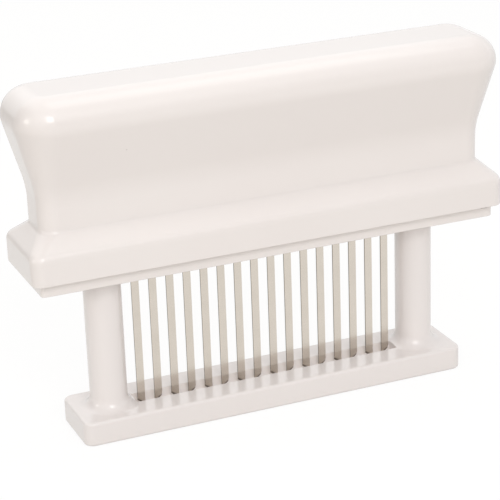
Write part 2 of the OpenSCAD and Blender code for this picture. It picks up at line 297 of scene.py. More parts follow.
def ring_bend(before: Vector, at: Vector, after: Vector, reach: float, steps: int) -> list[Vector]:
    """Round the bend of a side profile at one ring.

    Args:
        before: the ring before the bend.
        at: the ring at the bend.
        after: the ring after the bend.
        reach: distance from the bend at which the round starts, in the profile.
        steps: number of steps across the round.

    Returns:
        The rings across the round.
    """

    def toward(other: Vector) -> Vector:
        """Step from the bend towards another ring by the reach."""
        run = math.hypot(other[0] - at[0], other[2] - at[2])
        return at + (other - at) * (reach / run)

    start, stop = toward(before), toward(after)
    rings = []
    for i in range(steps + 1):
        t = i / steps
        rings.append((1 - t) ** 2 * start + 2 * t * (1 - t) * at + t * t * stop)
    return rings


def draw_ring(obj: Object, level: Vector, index: int, steps: int) -> None:
    """Add one ring, in millimetres, as a round-cornered outline in its own vertex group."""
    z, half_l, half_d, corner = level
    if index:
        bpy.ops.mesh.select_all(action="DESELECT")
        bpy.ops.mesh.primitive_plane_add(size=2)
    bpy.ops.transform.translate(value=(0, 0, z * MM))
    bpy.ops.transform.resize(value=(half_l * MM, half_d * MM, 1))
    bpy.ops.mesh.bevel(
        offset_type="OFFSET", offset=corner * MM, segments=steps, profile=0.5, affect="VERTICES"
    )
    group = obj.vertex_groups.new(name=f"ring_{index}")
    obj.vertex_groups.active_index = group.index
    bpy.ops.object.vertex_group_assign()
    bpy.ops.mesh.delete(type="ONLY_FACE")


def pick_rings(obj: Object, *indices: int) -> None:
    """Select whole rings by their vertex groups, in edit mode."""
    bpy.ops.mesh.select_all(action="DESELECT")
    for index in indices:
        obj.vertex_groups.active_index = index
        bpy.ops.object.vertex_group_select()


def loft(name: str, rings: Sequence[Vector], steps: int) -> Object:
    """Bridge a stack of rings into one closed skin.

    Args:
        name: the object's name.
        rings: the rings in order, in millimetres.
        steps: number of steps round each corner.

    Returns:
        The new object.
    """
    obj = added(name, bpy.ops.mesh.primitive_plane_add, size=2)
    with editing(obj):
        for index, level in enumerate(rings):
            draw_ring(obj, level, index, steps)
        for index in range(len(rings) - 1):
            pick_rings(obj, index, index + 1)
            bpy.ops.mesh.bridge_edge_loops()
        for index in (0, len(rings) - 1):
            pick_rings(obj, index)
            bpy.ops.mesh.edge_face_add()
    obj.vertex_groups.clear()
    return obj


# ---- node graphs


class Graph:
    """Short hand for building a node tree."""

    def __init__(self, tree: NodeTree) -> None:
        """Keep the tree that the nodes go into."""
        self.tree = tree

    def link(self, source: NodeSocket, target: NodeSocket) -> None:
        """Join an output to an input."""
        self.tree.links.new(source, target)

    def feed(self, target: NodeSocket, value: object) -> None:
        """Give an input its source, which is an output or a plain value."""
        if isinstance(value, NodeSocket):
            self.link(value, target)
        elif value is not None:
            target.default_value = value

    def node(self, kind: str, **settings: object) -> Node:
        """Add a node and set its properties and inputs by name."""
        node = self.tree.nodes.new(kind)
        for key, value in settings.items():
            if hasattr(node, key):
                setattr(node, key, value)
            else:
                self.feed(node.inputs[key.replace("_", " ")], value)
        return node

    def math(self, operation: str, a: object, b: object = None) -> NodeSocket:
        """Add a Math node on sockets or plain numbers, and give its output."""
        node = self.node("ShaderNodeMath", operation=operation)
        self.feed(node.inputs[0], a)
        self.feed(node.inputs[1], b)
        return node.outputs[0]

    def blend(self, factor: object, a: object, b: object) -> NodeSocket:
        """Mix two colours, each a socket or a colour, and give the result."""
        node = self.node("ShaderNodeMix", data_type="RGBA")
        for index, value in ((0, factor), (6, a), (7, b)):
            self.feed(node.inputs[index], value)
        return node.outputs[2]

    def noise(self, place: NodeSocket, scale: float, detail: float) -> NodeSocket:
        """Add a noise texture on a place, and give its value."""
        node = self.node("ShaderNodeTexNoise", Vector=place, Scale=scale, Detail=detail)
        return node.outputs["Fac"]

    def stretched(self, place: NodeSocket, along_y: float) -> NodeSocket:
        """Stretch a place along Y, and give the result."""
        return self.node("ShaderNodeMapping", Vector=place, Scale=(1.0, along_y, 1.0)).outputs[0]

    def split(self, place: NodeSocket) -> tuple[NodeSocket, ...]:
        """Split a vector into its X, Y and Z."""
        return tuple(self.node("ShaderNodeSeparateXYZ", Vector=place).outputs)

    def bounded(self, value: object, low: float, high: float) -> NodeSocket:
        """Keep a value between two limits."""
        return self.math("MINIMUM", self.math("MAXIMUM", value, low), high)


def empty_graph(owner: ID) -> Graph:
    """Start the node tree of a material or a world."""
    owner.use_nodes = True
    owner.node_tree.nodes.clear()
    return Graph(owner.node_tree)


def effect(
    name: str, inputs: dict[str, float], outputs: Sequence[str]
) -> tuple[NodeTree, Graph, Node, Node]:
    """Start a shader node group that takes a place and some numbers.

    Args:
        name: the group's name.
        inputs: the names of its numbers, with their usual values.
        outputs: the names of the values that it puts out.

    Returns:
        The group, its graph, and its entry and exit nodes.
    """
    tree = bpy.data.node_groups.new(name, "ShaderNodeTree")
    tree.interface.new_socket("Place", in_out="INPUT", socket_type="NodeSocketVector")
    for key, value in inputs.items():
        socket = tree.interface.new_socket(key, in_out="INPUT", socket_type="NodeSocketFloat")
        socket.default_value = value
    for key in outputs:
        tree.interface.new_socket(key, in_out="OUTPUT", socket_type="NodeSocketFloat")
    g = Graph(tree)
    return tree, g, g.node("NodeGroupInput"), g.node("NodeGroupOutput")


def moulded_skin_group() -> NodeTree:
    """Build the surface of a polished moulding.

    Returns:
        The group. Gloss is a roughness offset from slow smears, Height the faint sink marks and
        orange peel of the tool, and Tint a slow change of shade.
    """
    values = {"Smear": 0.05, "Peel": 0.12, "Sink": 1.0}
    tree, g, entry, leave = effect("moulded_skin", values, ("Gloss", "Height", "Tint"))
    place = entry.outputs["Place"]
    smears = g.noise(g.stretched(place, along_y=1.4), scale=55.0, detail=3.0)
    scuffs = g.noise(place, scale=420.0, detail=1.0)
    smear_share = 0.75
    middle = 0.5
    smears = g.math("MULTIPLY", smears, smear_share)
    gloss = g.math("ADD", smears, g.math("MULTIPLY", scuffs, 1.0 - smear_share))
    centred = g.math("SUBTRACT", gloss, middle)
    g.link(g.math("MULTIPLY", centred, entry.outputs["Smear"]), leave.inputs["Gloss"])
    sink = g.math("MULTIPLY", g.noise(place, scale=38.0, detail=0.0), entry.outputs["Sink"])
    peel = g.math("MULTIPLY", g.noise(place, scale=1500.0, detail=1.0), entry.outputs["Peel"])
    g.link(g.math("ADD", sink, peel), leave.inputs["Height"])
    g.link(g.noise(place, scale=21.0, detail=2.0), leave.inputs["Tint"])
    return tree


def specks_group() -> NodeTree:
    """Build rare small specks in a light plastic.

    Returns:
        The group. Speck is 1 on a speck and 0 elsewhere.
    """
    tree, g, entry, leave = effect("specks", {"Spacing": 160.0, "Size": 0.1}, ("Speck",))
    place, spacing = entry.outputs["Place"], entry.outputs["Spacing"]
    cells = g.node("ShaderNodeTexVoronoi", feature="F1", Vector=place, Scale=spacing)
    near = g.math("LESS_THAN", cells.outputs["Distance"], entry.outputs["Size"])
    pick = g.node("ShaderNodeSeparateColor", Color=cells.outputs["Color"])
    cells_without = 0.93
    rare = g.math("GREATER_THAN", pick.outputs[0], cells_without)
    g.link(g.math("MULTIPLY", near, rare), leave.inputs["Speck"])
    return tree


def rolled_grain_group() -> NodeTree:
    """Build the grain of rolled or drawn steel, along one stretched axis.

    Returns:
        The group. Grain is fine lines from 0 to 1, and Cloud a slow change of tone.
    """
    values = {"Across": 6000.0, "Along": 60.0}
    tree, g, entry, leave = effect("rolled_grain", values, ("Grain", "Cloud"))
    lines = g.node("ShaderNodeCombineXYZ")
    scales = [entry.outputs[key] for key in ("Across", "Across", "Along")]
    for part, scale, target in zip(g.split(entry.outputs["Place"]), scales, lines.inputs):
        g.link(g.math("MULTIPLY", part, scale), target)
    g.link(g.noise(lines.outputs[0], scale=1.0, detail=2.0), leave.inputs["Grain"])
    g.link(g.noise(entry.outputs["Place"], scale=130.0, detail=2.0), leave.inputs["Cloud"])
    return tree


EFFECTS = {
    group.name: group for group in (moulded_skin_group(), specks_group(), rolled_grain_group())
}


def use_effect(g: Graph, name: str, place: NodeSocket, **values: float) -> Node:
    """Place a shared effect in a material, with this material's own values."""
    return g.node("ShaderNodeGroup", node_tree=EFFECTS[name], Place=place, **values)


# ---- finishes


def linear(red: int, green: int, blue: int) -> tuple[float, float, float, float]:
    """Turn a colour as seen, 0 to 255, into Blender's linear colour."""

    def channel(value: int) -> float:
        """Turn one channel."""
        share = value / 255
        return share / 12.92 if share <= 0.04045 else ((share + 0.055) / 1.055) ** 2.4

    return (channel(red), channel(green), channel(blue), 1.0)


def blank_material(name: str) -> tuple[Material, Graph, NodeSocket]:
    """Start a material.

    Args:
        name: the material's name.

    Returns:
        The material, its graph and the object's own coordinates.
    """
    material = bpy.data.materials.new(name)
    g = empty_graph(material)
    return material, g, g.node("ShaderNodeTexCoord").outputs["Object"]


def end_material(g: Graph, **values: object) -> None:
    """End a material's graph with its Principled shader, given values or sockets by name."""
    shader = g.node("ShaderNodeBsdfPrincipled", **values)
    g.node("ShaderNodeOutputMaterial", Surface=shader.outputs[0])


def add_bump(g: Graph, height: NodeSocket, strength: float, depth: float) -> NodeSocket:
    """Turn a height into a normal, its depth in millimetres."""
    bump = g.node("ShaderNodeBump", Strength=strength, Distance=depth * MM, Height=height)
    return bump.outputs[0]


@dataclass(frozen=True)
class PlasticFinish:
    """A light moulded plastic: colour, gloss and how even its surface is."""

    name: str
    colour: tuple[int, int, int]
    shade: tuple[int, int, int]
    roughness: float
    smear: float
    sink: float
    peel: float
    bump: float
    speck_size: float = 0.035
    speck_share: float = 0.2
    speck_colour: tuple[int, int, int] = (120, 108, 98)
    ior: float = 1.5
    coat: float = 0.85
    coat_roughness: float = 0.13

    def build(self) -> Material:
        """Make the material."""
        material, g, place = blank_material(self.name)
        values = {"Smear": self.smear, "Peel": self.peel, "Sink": self.sink}
        skin = use_effect(g, "moulded_skin", place, **values)
        specks = use_effect(g, "specks", place, Size=self.speck_size)
        tone = g.blend(skin.outputs["Tint"], linear(*self.shade), linear(*self.colour))
        speck = g.math("MULTIPLY", specks.outputs["Speck"], self.speck_share)
        end_material(
            g,
            Base_Color=g.blend(speck, tone, linear(*self.speck_colour)),
            Roughness=g.math("ADD", skin.outputs["Gloss"], self.roughness),
            Normal=add_bump(g, skin.outputs["Height"], 1.0, self.bump),
            IOR=self.ior,
            Coat_Weight=self.coat,
            Coat_Roughness=self.coat_roughness,
        )
        return material


@dataclass(frozen=True)
class SteelFinish:
    """A plain steel: colour, roughness and how strong its grain is."""

    name: str
    colour: tuple[int, int, int]
    shade: tuple[int, int, int]
    roughness: float
    grain: float
    across: float
    along: float
    # The next two weights paint shade: the knife's sides, which look along X, and its facets, which
    # look down, are painted darker, with more roughness.
    side_shade: float = 0.0
    facet_shade: float = 0.0
    painted_shade_colour: tuple[int, int, int] = (96, 88, 80)
    painted_shade_roughness: float = 0.1
    side_limit: float = 0.6
    down_limit: float = -0.2
    grain_roughness: float = 0.3
    grain_bump: float = 0.4
    grain_depth: float = 0.01

    def painted_shade_faces(self, g: Graph) -> NodeSocket:
        """Mask the faces that get painted shade.

        Args:
            g: the material's graph.

        Returns:
            A mask of the sides, which look along X, and of the facets, which look down: the faces
            that are painted darker as shade.
        """
        x, _, z = g.split(g.node("ShaderNodeTexCoord").outputs["Normal"])
        side = g.math("GREATER_THAN", g.math("ABSOLUTE", x), self.side_limit)
        side = g.math("MULTIPLY", side, self.side_shade)
        facet = g.math("LESS_THAN", z, self.down_limit)
        facet = g.math("MULTIPLY", facet, self.facet_shade)
        return g.math("MAXIMUM", side, facet)

    def build(self) -> Material:
        """Make the material."""
        material, g, place = blank_material(self.name)
        grain = use_effect(g, "rolled_grain", place, Across=self.across, Along=self.along)
        tone = g.blend(grain.outputs["Cloud"], linear(*self.shade), linear(*self.colour))
        lines = g.math("MULTIPLY", grain.outputs["Grain"], self.grain)
        tone = g.blend(lines, tone, linear(*self.shade))
        middle = 0.5
        spread = g.math("SUBTRACT", grain.outputs["Grain"], middle)
        spread = g.math("MULTIPLY", spread, self.grain * self.grain_roughness)
        rough = g.math("ADD", spread, self.roughness)
        # Painted shade: the sides and the down-facing facets get a darker colour and more
        # roughness.
        if self.side_shade:
            painted_shade = self.painted_shade_faces(g)
            tone = g.blend(painted_shade, tone, linear(*self.painted_shade_colour))
            rough = g.math("ADD", rough, g.math("MULTIPLY", painted_shade, self.painted_shade_roughness))
        normal = add_bump(g, grain.outputs["Grain"], self.grain_bump, self.grain_depth)
        end_material(g, Base_Color=tone, Roughness=rough, Normal=normal, Metallic=1.0)
        return material


class Finish(Enum):
    """The finishes on this object."""

    HANDLE = PlasticFinish(
        "handle_plastic", (242, 235, 231), (239, 231, 227), 0.34, 0.05, 1.0, 0.03, 0.03
    )
    FOOT = PlasticFinish(
        "foot_plastic", (242, 235, 232), (239, 232, 229), 0.34, 0.05, 1.0, 0.03, 0.03
    )
    RETAINER = PlasticFinish(
        "retainer_plastic", (244, 237, 233), (241, 234, 230), 0.36, 0.06, 0.6, 0.06, 0.03
    )
    KEEPER = PlasticFinish(
        "keeper_plastic", (222, 217, 211), (215, 210, 204), 0.45, 0.1, 0.5, 0.3, 0.05
    )
    # The knife steel has painted shade on its sides and on its down-facing facets.
    BLADE = SteelFinish(
        "blade_steel", (229, 221, 211), (215, 207, 196), 0.19, 0.3, 5200.0, 70.0, 0.75, 0.55
    )
    SCREW = SteelFinish(
        "screw_steel", (214, 213, 212), (188, 187, 187), 0.36, 0.4, 2600.0, 2600.0
    )
    SPRING = SteelFinish(
        "spring_steel", (205, 205, 208), (176, 176, 180), 0.36, 0.4, 3800.0, 3800.0
    )


MATERIALS: dict[Finish, Material] = {}


def material_of(finish: Finish) -> Material:
    """Give a finish's material, built once."""
    if finish not in MATERIALS:
        MATERIALS[finish] = finish.value.build()
    return MATERIALS[finish]


def dress(obj: Object, finish: Finish) -> None:
    """Put one finish all over an object."""
    obj.data.materials.clear()
    obj.data.materials.append(material_of(finish))


def dress_node(name: str, finish: Finish) -> None:
    """Put a finish on a node of the frame, whose shape is right as it is."""
    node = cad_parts[name]
    for slot in node.material_slots:
        slot.material = material_of(finish)
    log.info("%s: frame node, %s", name, finish.value.name)


def settle(obj: Object, body: str, finish: Finish, *nodes: str) -> None:
    """Finish a new piece: dress it, let it ride on a body and stand for its nodes."""
    dress(obj, finish)
    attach(obj, body)
    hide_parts(*nodes)
    faces = len(obj.data.polygons)
    log.info("%s: %d faces, rides on %s, stands for %s", obj.name, faces, body, nodes)


# ---- sub-assemblies


@dataclass
class Grip:
    """The moulded handle: flange, shoulder, neck, flare and rounded crown, hollow inside."""

    flange_corner: float = 3.4
    flange_side: float = 8.2
    shoulder: float = 4.9
    neck_in_side: float = 5.75
    neck_in_end: float = 5.0
    neck: float = 10.4
    neck_corner: float = 4.7
    flare: float = 16.7
    flare_side: float = 5.85
    flare_end: float = 4.45
    crown_radius: float = 8.1
    crown_corner: float = 9.5
    flare_blend: float = 3.6
    shoulder_blend: float = 1.5
    neck_blend: float = 0.8
    rim_blend: float = 0.35
    wall: float = 1.5
    roof: float = 3.0
    ledge: float = 2.0
    recess_clear: float = 0.15
    recess_corner: float = 1.35
    flange_half: tuple[float, float] = (73.15, 14.1)
    corner_steps: int = 14
    crown_corner_least: float = 0.5
    inner_corner_least: float = 0.8
    ledge_corner: float = 1.5

    def crown_rings(self, foot: float, top: float, steps: int, skin: float) -> list[Vector]:
        """Work out the rings of the crown's arc.

        Args:
            foot: height where the flare starts.
            top: height of the flat top.
            steps: number of steps over the arc.
            skin: how far inside the outer face the rings lie.

        Returns:
            The rings from the flare to the flat top.
        """
        neck_l = self.flange_half[0] - self.neck_in_end
        neck_d = self.flange_half[1] - self.neck_in_side
        lean_l = math.atan2(self.flare_end, self.flare)
        lean_d = math.atan2(self.flare_side, self.flare)
        centre_z = top - self.crown_radius
        rise = centre_z - foot
        centre_l = neck_l + rise * math.tan(lean_l) - self.crown_radius / math.cos(lean_l)
        centre_d = neck_d + rise * math.tan(lean_d) - self.crown_radius / math.cos(lean_d)
        radius = self.crown_radius - skin
        rings = []
        for i in range(steps + 1):
            t = i / steps
            a = (math.pi / 2 + lean_l) * t - lean_l
            b = (math.pi / 2 + lean_d) * t - lean_d
            corner = self.crown_corner - skin - radius * (1 - math.cos(max(a, 0)))
            rings.append(
                ring(
                    centre_z + radius * math.sin(a),
                    centre_l + radius * math.cos(a),
                    centre_d + radius * math.cos(b),
                    max(corner, self.crown_corner_least),
                )
            )
        return rings

    def build(self) -> None:
        """Loft the handle from the top of its cavity, down, round the rim and up to its crown."""
        low, high = (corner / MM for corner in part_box("handle_shell"))
        retainer_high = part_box("retainer")[1] / MM
        seat = retainer_high.z
        rim = low.z
        shoulder_z = rim + self.flange_side
        neck_z = shoulder_z + self.shoulder
        flare_z = neck_z + self.neck
        flange_l, flange_d = self.flange_half
        neck_l, neck_d = flange_l - self.neck_in_end, flange_d - self.neck_in_side
        recess_l = retainer_high.x + self.recess_clear
        recess_d = retainer_high.y + self.recess_clear

        rim_in = ring(rim, recess_l, recess_d, self.recess_corner)
        rim_out = ring(rim, flange_l, flange_d, self.flange_corner)
        recess_top = ring(seat, recess_l, recess_d, self.recess_corner)
        shoulder = ring(shoulder_z, flange_l, flange_d, self.flange_corner)
        neck_foot = ring(neck_z, neck_l, neck_d, self.neck_corner)
        neck_top = ring(flare_z, neck_l, neck_d, self.neck_corner)
        crown = self.crown_rings(flare_z, high.z, steps=22, skin=0.0)
        body = (
            ring_bend(rim_out, shoulder, neck_foot, self.shoulder_blend, 8)
            + ring_bend(shoulder, neck_foot, neck_top, self.neck_blend, 6)
            + ring_bend(neck_foot, neck_top, crown[0], self.flare_blend, 10)
        )
        edge = ring_bend(recess_top, rim_in, rim_out, self.rim_blend, 2)
        edge += ring_bend(rim_in, rim_out, shoulder, self.rim_blend, 3)
        ledge_l, ledge_d = recess_l - self.ledge, recess_d - self.ledge
        inner = [ring(seat, ledge_l, ledge_d, self.ledge_corner)]
        for z, half_l, half_d, corner in body:
            inner.append(
                ring(
                    z,
                    min(half_l - self.wall, ledge_l),
                    min(half_d - self.wall, ledge_d),
                    max(corner - self.wall, self.inner_corner_least),
                )
            )
        inner += self.crown_rings(flare_z, high.z, steps=8, skin=self.roof)
        rings = list(reversed(inner)) + [recess_top] + edge + body + crown
        grip = loft("grip", rings, self.corner_steps)
        finish_surface(grip)
        settle(grip, HANDLE_BODY, Finish.HANDLE, "handle_shell")


@dataclass
class PresserFoot:
    """The foot bar with its trough and slots, and the two posts that grow out of it."""

    corner: float = 3.0
    edge: float = 0.9
    height: float = 7.3
    post_radius: float = 5.5
    post_x: float = 49.6
    post_edge: float = 0.5
    post_sides: int = 72
    fillet: float = 3.4
    fillet_steps: int = 10
    skirt: float = 1.0
    bore_radius: float = 2.05
    bore_depth: float = 16.0
    trough_width: float = 6.0
    trough_floor: float = 2.6
    trough_depth: float = 2.3
    trough_half: float = 42.35
    slot_half: tuple[float, float] = (1.55, 0.7)

    def bar(self) -> Object:
        """Shape the foot bar and round its edges."""
        low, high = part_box("presser_foot")
        top = Vector((high.x, high.y, self.height * MM))
        obj = new_box("foot", Vector((low.x, low.y, 0)), top)
        bevel_edges(obj, upright, self.corner, 12)
        bevel_edges(obj, lambda a, b: abs(a.z - b.z) < NEAR, self.edge, 5)
        return obj

    def post(self, side: int) -> Object:
        """Spin one post, with its fillet, its screw bore and a skirt inside the bar.

        Args:
            side: -1 for the left post, 1 for the right one.

        Returns:
            The post.
        """
        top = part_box("presser_foot")[1].z / MM
        skirt_z = self.height - self.skirt
        arc_r, arc_z = self.post_radius + self.fillet, self.height + self.fillet
        profile = [(0.0, top - self.bore_depth), (self.bore_radius, top - self.bore_depth)]
        profile += [(self.bore_radius, top), (self.post_radius - self.post_edge, top)]
        profile += [(self.post_radius, top - self.post_edge)]
        for i in range(self.fillet_steps + 1):
            a = math.pi / 2 * i / self.fillet_steps
            profile.append((arc_r - self.fillet * math.cos(a), arc_z - self.fillet * math.sin(a)))
        profile += [(arc_r, skirt_z), (0.0, skirt_z)]
        obj = added(f"post_{side}", bpy.ops.mesh.primitive_plane_add, size=1)
        x = side * self.post_x
        with editing(obj):
            bpy.ops.mesh.merge(type="CENTER")
            bpy.ops.transform.translate(value=((x + profile[0][0]) * MM, 0, profile[0][1] * MM))
            for (r0, z0), (r1, z1) in zip(profile, profile[1:]):
                step = ((r1 - r0) * MM, 0, (z1 - z0) * MM)
                bpy.ops.mesh.extrude_region_move(TRANSFORM_OT_translate={"value": step})
            bpy.ops.mesh.select_all(action="SELECT")
            centre = (x * MM, 0, 0)
            bpy.ops.mesh.spin(steps=self.post_sides, angle=math.tau, center=centre, axis=(0, 0, 1))
            bpy.ops.mesh.select_all(action="SELECT")
            bpy.ops.mesh.remove_doubles(threshold=MERGE)
            bpy.ops.mesh.normals_make_consistent(inside=False)
        return obj

    def trough(self) -> Object:
        """Shape the cutter of the trough, wide at the top and narrow at its floor."""
        floor_z = (self.height - self.trough_depth) * MM
        half, floor_half = self.trough_width / 2 * MM, self.trough_floor / 2 * MM
        low = Vector((-self.trough_half * MM, -half, floor_z))
        high = Vector((self.trough_half * MM, half, self.height * MM))
        obj = new_box("trough", low, high)
        with editing_picked(obj, "VERT", lambda co: co.z < floor_z + NEAR):
            bpy.ops.transform.resize(value=(1, floor_half / half, 1))
        with editing_picked(obj, "VERT", lambda co: co.z > floor_z + NEAR):
            bpy.ops.mesh.select_mode(type="FACE")
            lift = (0, 0, self.fillet * MM)
            bpy.ops.mesh.extrude_region_move(TRANSFORM_OT_translate={"value": lift})
        return obj

    def build(self) -> None:
        """Join the bar and the posts, and cut the trough and the slots."""
        foot = self.bar()
        for side in SIDES:
            combine(foot, self.post(side), "UNION")
        combine(foot, self.trough(), "DIFFERENCE")
        combine(foot, slot_row(self.slot_half, -MM, self.height * MM), "DIFFERENCE")
        finish_surface(foot)
        settle(foot, FOOT_BODY, Finish.FOOT, "presser_foot")


@dataclass
class Retainer:
    """The plate under the handle that carries the knives and guides the posts."""

    corner: float = 1.2
    edge: float = 0.3
    bore_radius: float = 5.58
    post_x: float = 49.6
    screw_x: float = 63.5
    counterbore_radius: float = 3.05
    counterbore_depth: float = 2.4
    screw_hole_radius: float = 1.55
    slot_half: tuple[float, float] = (1.21, 0.36)
    channel_half: tuple[float, float] = (41.9, 2.2)
    channel_depth: float = 4.0
    notch_half: float = 1.1
    notch_height: float = 1.1
    notch_depth: float = 1.4
    notch_end: float = 3.0

    def cutters(self, low: Vector, high: Vector, rim: float) -> Object:
        """Shape everything that is cut out of the plate.

        Args:
            low: the plate's lowest corner.
            high: the plate's highest corner.
            rim: height of the handle's rim.

        Returns:
            One object with all the cutters.
        """
        height = high.z - low.z
        tools = []
        for side in SIDES:
            foot = Vector((side * self.post_x * MM, 0, low.z - MM))
            tools.append(new_drum("bore", self.bore_radius * MM, foot, height + 2 * MM, 72))
        tools.append(slot_row(self.slot_half, low.z - MM, high.z - MM))
        for side in SIDES:
            x = (high.x / MM - self.notch_end) * side
            y = high.y / MM * -side
            z = rim / MM - self.notch_height
            notch_low = Vector((x - self.notch_half, y - self.notch_depth, z))
            notch_high = Vector((x + self.notch_half, y + self.notch_depth, rim / MM))
            tools.append(new_box("notch", notch_low * MM, notch_high * MM))
        return joined("cutters", tools)

    def build(self) -> None:
        """Shape the plate, cut it and soften its edges."""
        low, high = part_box("retainer")
        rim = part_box("handle_shell")[0].z
        plate = new_box("retainer_plate", low, high)
        bevel_edges(plate, upright, self.corner, 6)
        bevel_edges(plate, lambda a, b: max(a.z, b.z) < low.z + NEAR, self.edge, 3)
        combine(plate, self.cutters(low, high, rim), "DIFFERENCE")
        for side in SIDES:
            foot = Vector((side * self.screw_x * MM, 0, low.z - MM))
            depth = (self.counterbore_depth + 1) * MM
            sink = new_drum("counterbore", self.counterbore_radius * MM, foot, depth)
            combine(plate, sink, "DIFFERENCE")
            height = high.z - low.z + 2 * MM
            hole = new_drum("hole", self.screw_hole_radius * MM, foot, height)
            combine(plate, hole, "DIFFERENCE")
        half_l, half_d = self.channel_half
        channel_low = Vector((-half_l * MM, -half_d * MM, high.z - self.channel_depth * MM))
        channel_high = Vector((half_l * MM, half_d * MM, high.z + MM))
        combine(plate, new_box("channel", channel_low, channel_high), "DIFFERENCE")
        finish_surface(plate)
        settle(plate, HANDLE_BODY, Finish.RETAINER, "retainer")


@dataclass
class KnifeRow:
    """The flat knives: a T-shaped head, a straight strip and a slanting tip, sharpened to an edge.
    """

    width: float = 2.3
    cut: float = 1.6
    grind: float = 1.5
    edge: float = 0.06
    head: float = 3.0
    tip_below: float = 1.0
    slope_above: float = 0.2

    def knife(self, node: str, name: str) -> Object:
        """Model one knife in the place of its node.

        Args:
            node: the knife's node.
            name: the new piece's name.

        Returns:
            The knife.
        """
        low, high = (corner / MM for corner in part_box(node))
        middle = (low.x + high.x) / 2
        index = int(node.split("_")[1])
        point_side = -1 if index % 2 == 0 else 1
        half = self.width / 2
        head_z = high.z - self.head
        strip_low = Vector((middle - half, low.y, low.z))
        strip_high = Vector((middle + half, high.y, head_z))
        obj = new_box(name, strip_low * MM, strip_high * MM)
        tip_z = (low.z + self.tip_below) * MM

        def above_point(co: Vector) -> bool:
            """Tell the lower end's corners on the side away from the point."""
            return co.z < tip_z and (co.x / MM - middle) * point_side < 0

        with editing_picked(obj, "VERT", above_point):
            bpy.ops.transform.translate(value=(0, 0, self.cut * MM))
        with editing_picked(obj, "VERT", lambda co: co.z > head_z * MM - NEAR):
            bpy.ops.mesh.select_mode(type="FACE")
            bpy.ops.mesh.extrude_region_move(TRANSFORM_OT_translate={"value": (0, 0, 0)})
            head = (high.x - low.x) / self.width
            bpy.ops.transform.resize(value=(head, 1, 1))
            rise = (high.z - head_z) * MM
            bpy.ops.mesh.extrude_region_move(TRANSFORM_OT_translate={"value": (0, 0, rise)})
        self.grind_tip(obj, low)
        soften(obj, self.edge * MM, 2)
        return obj

    def grind_tip(self, obj: Object, low: Vector) -> None:
        """Grind the slanting end to an edge on its back, so that a facet shows in front."""
        slope_z = (low.z + self.cut + self.slope_above) * MM
        front = low.y * MM

        def on_front_slope(a: Vector, b: Vector) -> bool:
            """Tell the slanting end's edge on the front face."""
            level = max(a.z, b.z) < slope_z
            return level and abs(a.y - front) < NEAR and abs(b.y - front) < NEAR

        with editing_picked(obj, "EDGE", on_front_slope):
            bpy.ops.transform.translate(value=(0, 0, self.grind * MM))

    def build(self) -> None:
        """Model every knife."""
        for i in range(1, KNIVES + 1):
            node = f"blade_{i:02d}"
            knife = self.knife(node, f"knife_{i:02d}")
            finish_surface(knife)
            settle(knife, HANDLE_BODY, Finish.BLADE, node)


@dataclass
class Springs:
    """The two compression springs in the handle, each a round wire with closed end coils."""

    wire: float = 0.9
    turns: int = 9
    closed_pitch: float = 0.99
    steps: int = 24
    wire_sides: int = 12
    smooth_angle: float = 50.0

    def coil(
        self, name: str, centre: Vector, z: float, turns: int, pitch: float, radius: float
    ) -> Object:
        """Wind part of a spring with a Screw modifier.

        Args:
            name: the object's name.
            centre: the spring's axis.
            z: height of the wire's centre at the start.
            turns: number of whole turns.
            pitch: rise of each turn.
            radius: radius of the wire's centre line.

        Returns:
            The coil.
        """
        circle = bpy.ops.mesh.primitive_circle_add
        obj = added(name, circle, vertices=self.wire_sides, radius=self.wire / 2 * MM)
        with editing(obj):
            bpy.ops.transform.rotate(value=math.pi / 2, orient_axis="X", center_override=(0, 0, 0))
            bpy.ops.transform.translate(value=(radius * MM, 0, 0))
        apply_modifier(
            obj,
            "SCREW",
            axis="Z",
            angle=math.tau * turns,
            screw_offset=pitch * turns * MM,
            steps=self.steps * turns,
            render_steps=self.steps * turns,
            use_merge_vertices=False,
        )
        with editing(obj):
            bpy.ops.transform.translate(value=(centre.x, centre.y, z * MM))
        return obj

    def build(self) -> None:
        """Wind both springs at their resting length; the real ones shorten towards their wells'
        roofs as the foot rises.
        """
        for side in ("left", "right"):
            node = f"spring_{side}"
            low, high = (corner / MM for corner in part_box(node))
            centre = (low + high) / 2 * MM
            radius = (high.y - low.y - self.wire) / 2
            start, stop = low.z + self.wire / 2, high.z - self.wire / 2
            live = self.turns - 2
            pitch = (stop - start - 2 * self.closed_pitch) / live
            lower = self.coil("lower", centre, start, 1, self.closed_pitch, radius)
            middle = self.coil("middle", centre, start + self.closed_pitch, live, pitch, radius)
            last = stop - self.closed_pitch
            upper = self.coil("upper", centre, last, 1, self.closed_pitch, radius)
            spring = joined(f"coil_spring_{side}", (lower, middle, upper))
            with editing(spring):
                bpy.ops.mesh.remove_doubles(threshold=NEAR)
                bpy.ops.mesh.select_all(action="DESELECT")
                bpy.ops.mesh.select_non_manifold()
                bpy.ops.mesh.fill_holes(sides=0)
            finish_surface(spring, self.smooth_angle)
            settle(spring, HANDLE_BODY, Finish.SPRING, node)
            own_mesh(spring)


@dataclass
class Fittings:
    """The small parts whose frame shapes are right, and only need their finish."""

    steel: tuple[str, ...] = ("retainer_screws", "keeper_screws", "post_screws", "stop_washers")
    plastic: tuple[str, ...] = ("knife_keeper",)

    def build(self) -> None:
        """Dress the small parts."""
        for name in self.steel:
            dress_node(name, Finish.SCREW)
        for name in self.plastic:
            dress_node(name, Finish.KEEPER)


# ---- studio


def outward(bearing: float, height: float) -> Vector:
    """Give the direction from the object out to a lamp or the camera.

    Args:
        bearing: degrees from the front, to the right.
        height: degrees above the floor.

    Returns:
        The direction, one long.
    """
    turn, climb = math.radians(bearing), math.radians(height)
    level = math.cos(climb)
    return Vector((math.sin(turn) * level, -math.cos(turn) * level, math.sin(climb)))


